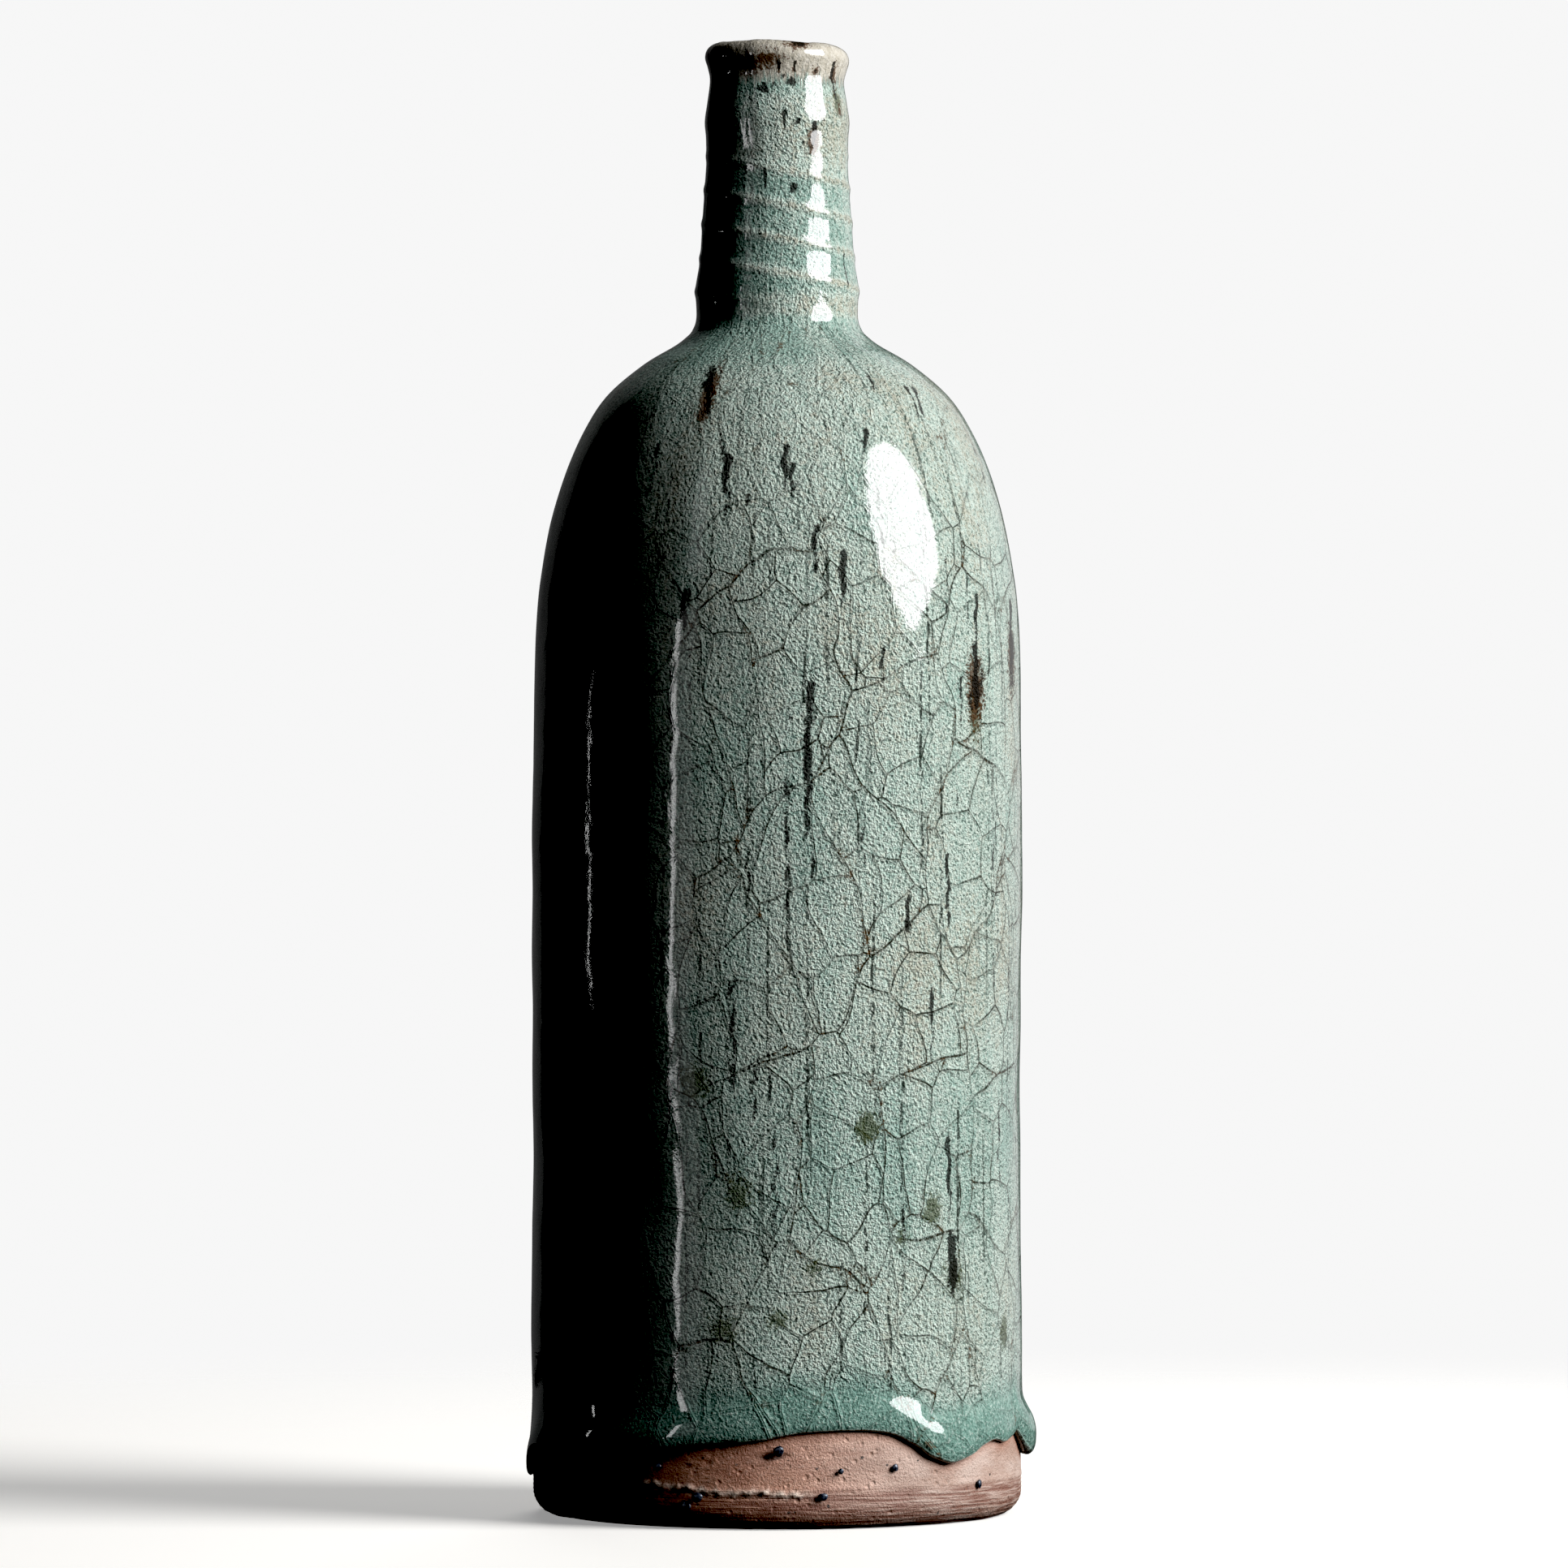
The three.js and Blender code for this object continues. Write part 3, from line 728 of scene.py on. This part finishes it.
class Shader:
    """One material's nodes. Every value may be a socket or a plain number."""

    def __init__(self, name):
        self.material = bpy.data.materials.new(name)
        self.material.use_nodes = True
        self.tree = self.material.node_tree
        self.surface = self.tree.nodes["Principled BSDF"]

    def put(self, socket, value):
        if isinstance(value, bpy.types.NodeSocket):
            self.tree.links.new(value, socket)
        else:
            socket.default_value = value

    def node(self, kind, inputs, **settings):
        made = self.tree.nodes.new("ShaderNode" + kind)
        for key, value in settings.items():
            setattr(made, key, value)
        for key, value in inputs.items():
            self.put(made.inputs[key], value)
        return made

    def math(self, operation, *values):
        return self.node("Math", dict(enumerate(values)), operation=operation).outputs[0]

    def add(self, a, b):
        return self.math("ADD", a, b)

    def times(self, product, *values):
        for value in values:
            product = self.math("MULTIPLY", product, value)
        return product

    def swing(self, noise, amount):
        """How far a noise is from its middle, times an amount."""
        return self.times(self.add(noise, -0.5), amount)

    def field(self, name):
        """A number that the mesh holds at each vertex."""
        return self.node("Attribute", {}, attribute_name=name).outputs["Fac"]

    def flow(self):
        """The place, in millimetres, as if the piece were a plain cylinder, so that streaks run straight."""
        return self.node("Attribute", {}, attribute_name="flow").outputs["Vector"]

    def place(self):
        """Millimetres in the piece's own space."""
        return self.scaled(self.node("TexCoord", {}).outputs["Object"], (1000, 1000, 1000))

    def scaled(self, vector, by):
        return self.node("VectorMath", {0: vector, 1: by}, operation="MULTIPLY").outputs[0]

    def turned(self, vector):
        """The vector turned off its axes, so that the noise's own grid doesn't show."""
        inputs = {"Vector": vector, "Axis": (0.5, 0.3, 0.8), "Angle": 0.7}
        return self.node("VectorRotate", inputs).outputs["Vector"]

    def shifted(self, vector, by):
        return self.node("VectorMath", {0: vector, 1: by}, operation="ADD").outputs[0]

    def noise(self, vector, size, detail=2.0, roughness=0.5, output="Fac"):
        """Noise whose features are about that many millimetres across."""
        inputs = {"Vector": vector, "Scale": 1 / size, "Detail": detail, "Roughness": roughness}
        return self.node("TexNoise", inputs).outputs[output]

    def warped(self, vector, size, amount):
        """The place pushed about by noise, by up to about that many millimetres."""
        return self.pushed(vector, vector, size, amount)

    def pushed(self, vector, place, size, amount):
        """The vector pushed about by noise that is read at a place."""
        push = self.shifted(self.noise(place, size, detail=1, output="Color"), (-0.5, -0.5, -0.5))
        return self.shifted(vector, self.scaled(push, (2 * amount,) * 3))

    def part(self, vector, axis):
        return self.node("SeparateXYZ", {0: vector}).outputs[axis]

    def cells(self, vector, size, feature="DISTANCE_TO_EDGE", output="Distance", flat=False):
        """Random cells of about that many millimetres, on a sheet where flat."""
        inputs = {"Vector": vector, "Scale": 1 / size}
        dimensions = "2D" if flat else "3D"
        made = self.node("TexVoronoi", inputs, feature=feature, voronoi_dimensions=dimensions)
        return made.outputs[output]

    def between(self, value, low, high, start=0.0, end=1.0):
        """Maps low..high smoothly onto start..end."""
        inputs = {"Value": value, "From Min": low, "From Max": high, "To Min": start, "To Max": end}
        return self.node("MapRange", inputs, interpolation_type="SMOOTHSTEP").outputs["Result"]

    def mix(self, share, a, b, blend="MIX"):
        made = self.node("Mix", {0: share, 6: colour(a), 7: colour(b)}, data_type="RGBA", blend_type=blend)
        return made.outputs[2]

    def bump(self, height, distance, normal=None):
        """Relief from a height in millimetres."""
        inputs = {"Height": height, "Distance": distance * MM, "Strength": 1.0}
        if normal is not None:
            inputs["Normal"] = normal
        return self.node("Bump", inputs).outputs["Normal"]

    def finish(self, **inputs):
        for key, value in inputs.items():
            self.put(self.surface.inputs[key.replace("_", " ")], value)
        return self.material


def colour(value):
    """A colour from its sRGB hex code; sockets pass through."""
    if not isinstance(value, str):
        return value
    parts = [int(value[i : i + 2], 16) / 255 for i in (0, 2, 4)]
    return tuple(p / 12.92 if p <= 0.04045 else ((p + 0.055) / 1.055) ** 2.4 for p in parts) + (1.0,)


def crackle(shader, place, sheet):
    """Millimetres to the nearest of the long cracks and of the short ones, which end on the long ones."""
    bent = shader.pushed(shader.pushed(sheet, place, 17, 4.2), place, 4, 0.3)
    tall = shader.scaled(bent, (1, 0.62, 1))  # the long cells stand upright
    long_gap = shader.times(shader.cells(tall, 20, flat=True), 20)
    family = shader.cells(tall, 20, feature="F1", output="Color", flat=True)
    # Each long cell is divided in its own way, by a part of the pattern far from its neighbours'.
    apart = shader.shifted(shader.scaled(bent, (1, 0.85, 1)), shader.scaled(family, (900, 900, 900)))
    short_gap = shader.times(shader.cells(apart, 10.5, flat=True), 10.5)
    return shader.math("MINIMUM", long_gap, shader.part(sheet, "Z")), short_gap


def glaze_material():
    """Celadon over stoneware: mottled, crackled and stained, with iron marks, and cream over the lip."""
    s = Shader("crackled_celadon")
    place, flow = s.place(), s.flow()
    grain = s.noise(s.turned(place), 0.58, detail=2, roughness=0.65)
    pebbles = s.cells(s.turned(place), 0.95, feature="F1")
    specks = s.noise(s.shifted(place, (31, 7, 3)), 1.0, detail=2, roughness=0.7)
    patches = s.noise(place, 9, detail=3)
    veils = s.noise(s.scaled(flow, (1, 1, 0.08)), 3.4, detail=2)
    dashes = s.noise(s.scaled(place, (1, 1, 0.3)), 1.6, detail=1)

    # Colour by how thick the glaze lies, with painted shade away from the key light carried in the same
    # field, paler low on the wall, and its grain of light and dark.
    depth = s.add(s.field("depth"), s.swing(patches, 0.35))
    depth = s.add(depth, s.swing(veils, 0.3))
    depth = s.add(depth, s.swing(specks, 0.9))
    thin = s.mix(s.between(depth, 0.02, 0.3), "b1b2a2", "bdccc1")
    base = s.mix(s.between(depth, 0.25, 0.62), thin, "94b0a5")
    base = s.mix(s.between(depth, 0.55, 1.0), base, "6b8e83")
    low_wall = s.between(s.part(flow, "Z"), 120, 45, 0.0, 0.17)
    base = s.mix(s.times(low_wall, s.between(s.field("depth"), 0.75, 0.5)), base, "c3d6cb")
    base = s.mix(s.between(grain, 0.52, 0.72, 0.0, 0.45), base, "dbe5dd")
    base = s.mix(s.between(grain, 0.48, 0.33, 0.0, 0.75), base, "3a584e")

    # Cracks, and the tea-brown stain that has crept into some of them.
    on_body = s.field("body")
    sheet = s.node("Attribute", {}, attribute_name="sheet").outputs["Vector"]
    long_gap, short_gap = crackle(s, place, sheet)
    gap = s.math("MINIMUM", long_gap, short_gap)
    stain = s.between(s.noise(s.shifted(place, (5, 50, 9)), 11, detail=2), 0.42, 0.6)
    crumbs = s.between(grain, 0.5, 0.62)
    faint = s.between(s.noise(s.shifted(place, (70, 5, 2)), 15, detail=2), 0.38, 0.58, 0.5, 1.0)
    fading = s.between(s.part(flow, "Z"), 192, 222, 1.0, 0.25)
    line = s.times(s.between(gap, 0.26, 0.06), faint, fading, s.between(specks, 0.36, 0.55, 0.5, 1.0))
    on_wall = s.times(on_body, s.between(s.field("depth"), 0.8, 0.55, 0.3, 1.0))
    base = s.mix(s.times(line, on_wall), base, "26281b")
    beside = s.times(s.between(gap, 0.7, 0.25), crumbs, s.times(stain, fading))
    base = s.mix(s.times(beside, on_wall, 0.55), base, "2f2a1a")
    meeting = s.times(s.between(long_gap, 2.0, 0.3), s.between(short_gap, 2.0, 0.3))
    rust = s.times(meeting, stain, s.between(specks, 0.5, 0.6))
    base = s.mix(s.times(rust, on_body, 0.85), base, "5c4123")

    # Fine dark trickles where iron from the clay was drawn down.
    trickle = s.noise(s.scaled(flow, (1, 1, 0.03)), 1.25, detail=1)
    where = s.between(s.noise(s.scaled(s.shifted(flow, (9, 9, 90)), (1, 1, 0.4)), 16, detail=1), 0.43, 0.6)
    broken = s.between(s.add(s.times(specks, 0.6), trickle), 0.92, 1.02)
    base = s.mix(s.times(broken, where, on_wall, 0.7), base, "252b20")
    lane = s.scaled(s.pushed(sheet, place, 7, 1.0), (1, 0.014, 1))
    thread = s.between(s.times(s.cells(lane, 2.8, feature="F1", flat=True), 2.8), 0.55, 0.2)
    dotted = s.between(s.add(s.times(specks, 0.6), s.times(dashes, 0.4)), 0.47, 0.55, 0.05, 1.0)
    thread = s.times(thread, dotted, s.times(on_wall, fading))
    base = s.mix(s.times(thread, 0.88), base, "1e241b")

    # Cream glaze that came over the lip, with a fringed lower line.
    fringe = s.noise(s.scaled(flow, (1.6, 1.6, 0.5)), 2.2, detail=3, roughness=0.7)
    cream = s.between(s.add(s.field("lip"), s.swing(fringe, 1.5)), 0.42, 0.82)
    base = s.mix(cream, base, s.mix(s.between(specks, 0.35, 0.7), "aca698", "c2bdb2"))

    # Iron: olive halos, amber glass and black cores.
    ragged = s.add(s.swing(specks, 1.3), s.swing(grain, 1.3))
    frayed = s.add(s.swing(dashes, 1.1), s.swing(grain, 1.2))
    olive = s.between(s.add(s.field("olive"), s.times(ragged, 0.9)), 0.38, 0.62)
    base = s.mix(s.times(olive, 0.8), base, "4a5233")
    amber = s.between(s.add(s.field("amber"), s.times(ragged, 1.1)), 0.42, 0.72)
    base = s.mix(s.times(amber, 0.9), base, "4c2f14")
    iron = s.between(s.add(s.field("iron"), frayed), 0.46, 0.64)
    base = s.mix(s.times(iron, 0.93), base, "14130f")
    base = s.mix(s.between(s.field("rim"), 0.7, 1.0, 0.0, 0.8), base, "3a281a")

    # Relief: a sandy grain under a glassy skin, and cracks that stand as fine lines.
    smooth_roll = s.between(s.field("depth"), 0.6, 0.85, 1.0, 0.4)
    sand = s.times(s.add(s.times(grain, 1.25), s.times(pebbles, -0.3)), smooth_roll)
    groove = s.times(s.between(gap, 0.0, 0.25), 0.1)
    swell = s.times(s.between(gap, 0.8, 0.1), 0.22)
    cracks = s.times(s.add(groove, swell), on_body)
    smooth_lip = s.math("SUBTRACT", 1.0, s.times(cream, 0.8))
    relief = s.add(s.times(sand, smooth_lip), cracks)
    skin = s.add(s.times(sand, smooth_lip, 0.006), s.times(cracks, 0.03))
    s.put(s.surface.inputs["Coat Normal"], s.bump(skin, 1.0))
    return s.finish(
        Base_Color=base, Roughness=0.6, Specular_IOR_Level=0.2, Normal=s.bump(relief, 1.0), Coat_Weight=1.0,
        Coat_Roughness=0.025, Coat_IOR=1.41,
    )


def clay_material():
    """Bare red stoneware, paler where it was wiped, sandy and pitted, scorched along the glaze, with painted
    shade in its split and slit and a painted highlight along its ridge; pale towards the key light as a
    painted sheen and a brighter red on the shaded side as painted light, partly the clay's own flashing.
    """
    s = Shader("bare_stoneware")
    place, flow = s.place(), s.flow()
    sand = s.noise(place, 0.5, detail=3, roughness=0.7)
    patches = s.noise(s.scaled(flow, (1, 1, 2.2)), 11, detail=3)
    wiped = s.noise(s.scaled(flow, (0.12, 0.12, 2.6)), 1.4, detail=3, roughness=0.65)
    bevel = s.field("bevel")
    tone = s.add(s.times(patches, 0.75), s.swing(wiped, s.add(s.times(bevel, 0.5), 0.2)))
    pale = s.mix(s.between(tone, 0.25, 0.5), "aa8c7d", "c3aca0")
    red = s.mix(s.between(tone, 0.25, 0.5), "c67e5e", "d69a7e")
    # Painted sheen and light: pale towards the key light, a brighter red on the shaded side, partly the
    # clay's own flashing.
    flash_and_painted_light = s.add(s.field("flash_and_painted_light"), s.swing(patches, 0.5))
    base = s.mix(s.between(flash_and_painted_light, 0.45, 1.0), pale, red)
    base = s.mix(s.between(sand, 0.52, 0.75, 0.0, 0.5), base, "d3bcae")
    base = s.mix(s.between(sand, 0.45, 0.25, 0.0, 0.6), base, "6b3d2a")
    base = s.mix(s.times(bevel, s.between(wiped, 0.62, 0.4, 0.15, 0.8)), base, "6e3c2a")
    # Painted highlight along the ridge's crest, partly pale crumbs of clay.
    base = s.mix(s.times(s.field("ridge"), s.between(sand, 0.25, 0.45)), base, "eedccd")
    burnt = s.add(s.field("scorch"), s.swing(sand, 0.3))
    base = s.mix(s.between(burnt, 0.4, 1.0, 0.0, 0.5), base, "9a5c3e")
    base = s.mix(s.between(s.field("scorch"), 0.93, 0.99), base, "3a2116")
    # Painted shade in the split under the ridge and in the pressed slit.
    base = s.mix(s.between(s.field("hollow_shade"), 0.2, 0.8, 0.0, 0.85), base, "2a150e")
    grit = s.cells(s.warped(place, 2, 0.4), 3.1, feature="F1")
    base = s.mix(s.between(grit, 0.13, 0.07, 0.0, 0.9), base, "2a2422")
    pits = s.cells(s.shifted(place, (40, 3, 8)), 2.3, feature="F1")
    pitted = s.times(s.between(pits, 0.05, 0.3), s.between(s.noise(place, 12), 0.35, 0.6, 0.3, 1.0))
    relief = s.add(s.times(sand, 0.35), s.times(pitted, 0.25))
    relief = s.add(relief, s.times(wiped, s.add(bevel, 0.2), 0.3))
    return s.finish(
        Base_Color=base, Roughness=s.between(sand, 0.3, 0.7, 0.42, 0.6), Specular_IOR_Level=0.7,
        Normal=s.bump(relief, 1.0),
    )


def plain_clay_material(name, dark, light):
    """The same clay where it is hidden: a sandy mix of two tones."""
    s = Shader(name)
    sand = s.noise(s.place(), 0.8, detail=3, roughness=0.7)
    base = s.mix(s.between(sand, 0.35, 0.65), dark, light)
    return s.finish(Base_Color=base, Roughness=0.85, Normal=s.bump(s.times(sand, 0.1), 1.0))


def liner_material():
    """Clear cream liner glaze with faint specks."""
    s = Shader("cream_liner")
    place = s.place()
    cloud = s.noise(place, 8, detail=3)
    specks = s.noise(place, 0.9, detail=2, roughness=0.7)
    base = s.mix(s.between(cloud, 0.35, 0.65), "b3aa94", "c6bea9")
    base = s.mix(s.between(specks, 0.7, 0.78, 0.0, 0.7), base, "4a3a28")
    return s.finish(Base_Color=base, Roughness=0.18, Normal=s.bump(s.times(specks, 0.03), 1.0))


def iron_material():
    """Melted iron: mottled blue-black glass."""
    s = Shader("melted_iron")
    place = s.place()
    mottle = s.noise(place, 0.6, detail=3, roughness=0.6)
    base = s.mix(s.between(mottle, 0.35, 0.65), "1c1f26", "4a515e")
    return s.finish(
        Base_Color=base, Roughness=s.between(mottle, 0.3, 0.7, 0.16, 0.4), Metallic=0.35,
        Normal=s.bump(s.times(mottle, 0.06), 1.0),
    )


def give(piece, material):
    piece.data.materials.clear()
    piece.data.materials.append(material)


def place_piece(piece, material, slot, *nodes):
    """Finishes a piece that stands for some of the design's nodes."""
    give(piece, material)
    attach(piece, "root")
    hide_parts(*nodes)


celadon = glaze_material()
clay = clay_material()
liner = liner_material()
iron = iron_material()

coats = glaze_coats()
place_piece(coats[0], celadon, "celadon_glaze", "body_glaze")
place_piece(coats[1], celadon, "celadon_glaze", "neck_glaze")
place_piece(coats[2], celadon, "pale_glaze", "lip_glaze")
place_piece(lathe("throat_liner", throat_line(), THROAT_COLUMNS), liner, "pale_glaze", "neck_liner_glaze")
place_piece(clay_body(), clay, "bare_clay", "clay_body")
beads = sorted(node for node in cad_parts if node.startswith("iron_bead"))
for number, node in enumerate(beads, start=1):
    place_piece(iron_bead(node, number), iron, "iron_melt", node)
for node, material in (
    ("clay_neck", plain_clay_material("neck_clay", "7d5340", "a07a66")),
    ("slip_joint", plain_clay_material("luting_slip", "6a4433", "8a6350")),
    ("body_liner_glaze", liner),
):
    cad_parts[node].material_slots[0].material = material


# --------------------------------------------------
# Studio: a pale floor, a large soft light on the right, dim ones elsewhere, and a long lens.

EYE_HEIGHT = 129 * MM
EYE_DISTANCE = 1.632
LENS = 183
SHIFT = (0.0044, 0.0621)
AIM_HEIGHT = 0.17  # where the lights point
BACKDROP = 0.93
ROOM_LIGHT = 0.006
BLACK_LEVEL = 0.016


def floor():
    """A round pale floor whose rim fades out, so that no horizon shows behind the bottle."""
    radius = 0.62
    rings = np.array([0.1, 0.2, 0.3, 0.4, 0.5, radius]) / MM
    line = np.column_stack([np.zeros(len(rings)), rings])
    disc = lathe("floor", line, 96, poles=(0,))
    s = Shader("pale_floor")
    spot = s.node("TexCoord", {}).outputs["Object"]
    away = s.node("VectorMath", {0: spot}, operation="LENGTH").outputs["Value"]
    tooth = s.noise(s.place(), 1.5, detail=2)
    base = s.mix(tooth, "dcdad6", "e2e0dc")
    s.finish(Base_Color=base, Roughness=0.9, Emission_Color=(1, 1, 1, 1), Emission_Strength=0.3)
    s.put(s.surface.inputs["Alpha"], s.between(away, 0.22, radius - 0.02, 1.0, 0.0))
    give(disc, s.material)
    disc.visible_diffuse = False
    disc.visible_glossy = False
    disc.visible_shadow = False


def soft_light(name, bearing, elevation, distance, width, height, power, shape="RECTANGLE", only=None):
    """A light that faces the bottle's middle from a bearing counted from the front towards +X.

    Distance and size are in metres. It lights everything, or only what is glossy or diffuse.
    """
    data = bpy.data.lights.new(name, "AREA")
    data.shape = shape
    data.size = width
    data.size_y = height
    data.energy = power
    lamp = bpy.data.objects.new(name, data)
    bpy.context.scene.collection.objects.link(lamp)
    turned, lifted = math.radians(bearing), math.radians(elevation)
    flat = math.cos(lifted)
    aim = Vector((0, 0, AIM_HEIGHT))
    away = Vector((math.sin(turned) * flat, -math.cos(turned) * flat, math.sin(lifted)))
    lamp.location = aim + away * distance
    lamp.rotation_mode = "QUATERNION"
    lamp.rotation_quaternion = away.to_track_quat("Z", "Y")
    lamp.visible_camera = False
    lamp.visible_diffuse = only != "glossy"
    lamp.visible_glossy = only != "diffuse"


def surroundings():
    """White where the camera looks past the bottle, and nearly dark as a source of light."""
    world = bpy.data.worlds.new("studio")
    world.use_nodes = True
    bpy.context.scene.world = world
    nodes, links = world.node_tree.nodes, world.node_tree.links
    shade = nodes["Background"]
    ray = nodes.new("ShaderNodeLightPath")
    level = nodes.new("ShaderNodeMapRange")
    level.inputs["To Min"].default_value = ROOM_LIGHT
    level.inputs["To Max"].default_value = BACKDROP
    links.new(ray.outputs["Is Camera Ray"], level.inputs["Value"])
    links.new(level.outputs["Result"], shade.inputs["Strength"])
    shade.inputs["Color"].default_value = (1, 1, 1, 1)


def camera():
    """A long lens from the front, level with the lower half of the bottle."""
    data = bpy.data.cameras.new("camera")
    data.lens = LENS
    data.sensor_width = 36
    data.shift_x, data.shift_y = SHIFT
    data.clip_start, data.clip_end = 0.1, 20
    eye = bpy.data.objects.new("camera", data)
    eye.location = (0, -EYE_DISTANCE, EYE_HEIGHT)
    eye.rotation_euler = (math.radians(90), 0, 0)
    bpy.context.scene.collection.objects.link(eye)
    bpy.context.scene.camera = eye


floor()
soft_light("key", 67.5, 24, 1.2, 0.75, 0.86, 30.5, shape="ELLIPSE")
soft_light("strip", -42, 0, 1.13, 0.2, 0.4, 0.16, only="glossy")
soft_light("strip_high", -42, 29, 1.13, 0.2, 0.5, 0.3, only="glossy")
soft_light("strip_edge", -48.5, 0, 1.13, 0.055, 0.34, 0.5, only="glossy")
soft_light("side_line", -97, -1, 1.1, 0.016, 0.13, 0.05, only="glossy")
soft_light("right_panel", 140, 15, 1.3, 1.1, 1.2, 2.1, only="glossy")
soft_light("left_panel", -160, 15, 1.3, 0.8, 1.2, 0.25, only="glossy")
soft_light("back", 180, 30, 1.3, 0.6, 0.9, 9, only="diffuse")
surroundings()
camera()

view = bpy.context.scene.view_settings
view.view_transform = "Standard"
view.look = "None"
view.use_curve_mapping = True
view.curve_mapping.black_level = (BLACK_LEVEL,) * 3
view.curve_mapping.update()
